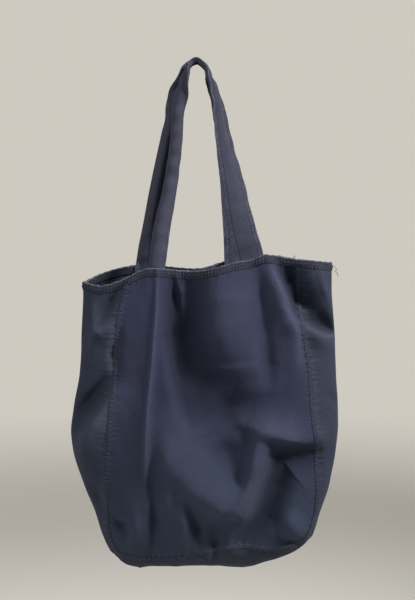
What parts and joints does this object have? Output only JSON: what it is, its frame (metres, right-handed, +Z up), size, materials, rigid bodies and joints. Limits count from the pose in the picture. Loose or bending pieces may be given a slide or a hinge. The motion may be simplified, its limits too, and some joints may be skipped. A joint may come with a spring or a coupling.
{
  "type": "tote bag",
  "caption": "Soft unlined canvas tote bag with side gussets, felled seams, a hemmed mouth and long sewn-in handles, hanging limp from a hook.",
  "frame": {"origin": "on the axis of the hook that the handles hang over, half way between the two handles", "axes": "+Z up, -Y out of the bag's front, +X to the right seen from the front; the hook points along Y"},
  "size_m": [0.3534, 0.1314, 0.6769],
  "materials": {
    "canvas": "washed navy cotton canvas, faded and matt",
    "worn_edge": "the same canvas at seams and hem, rubbed paler on its ridges",
    "strap_canvas": "folded canvas strap, greyer and more faded than the bag",
    "thread": "navy sewing thread, faded"
  },
  "bodies": {
    "bag": {"back_base_seam": "worn_edge", "back_base_stitches": "thread", "back_left_seam": "worn_edge", "back_left_seam_stitches": "thread", "back_left_strap_end": "strap_canvas", "back_panel": "canvas", "back_right_seam": "worn_edge", "back_right_seam_stitches": "thread", "back_right_strap_end": "strap_canvas", "base_panel": "canvas", "front_base_seam": "worn_edge", "front_base_stitches": "thread", "front_left_seam": "worn_edge", "front_left_seam_stitches": "thread", "front_left_strap_end": "strap_canvas", "front_panel": "canvas", "front_right_seam": "worn_edge", "front_right_seam_stitches": "thread", "front_right_strap_end": "strap_canvas", "left_base_seam": "worn_edge", "left_base_stitches": "thread", "left_gusset": "canvas", "mouth_hem": "worn_edge", "mouth_hem_stitches": "thread", "right_base_seam": "worn_edge", "right_base_stitches": "thread", "right_gusset": "canvas", "strap_end_stitches": "thread"},
    "front_handle": {"front_handle": "strap_canvas", "front_handle_stitches": "thread"},
    "back_handle": {"back_handle": "strap_canvas", "back_handle_stitches": "thread"}
  },
  "joints": [
    {"name": "front_handle_fold", "type": "hinge", "parent": "bag", "child": "front_handle", "pos_m": [0.0055, -0.0308, -0.2565], "axis": [0.9969, 0.0047, 0.0785], "range_deg": [0, 150]},
    {"name": "back_handle_fold", "type": "hinge", "parent": "bag", "child": "back_handle", "pos_m": [-0.001, 0.03098, -0.2575], "axis": [-0.9979, -0.0029, -0.0654], "range_deg": [0, 150]}
  ]
}
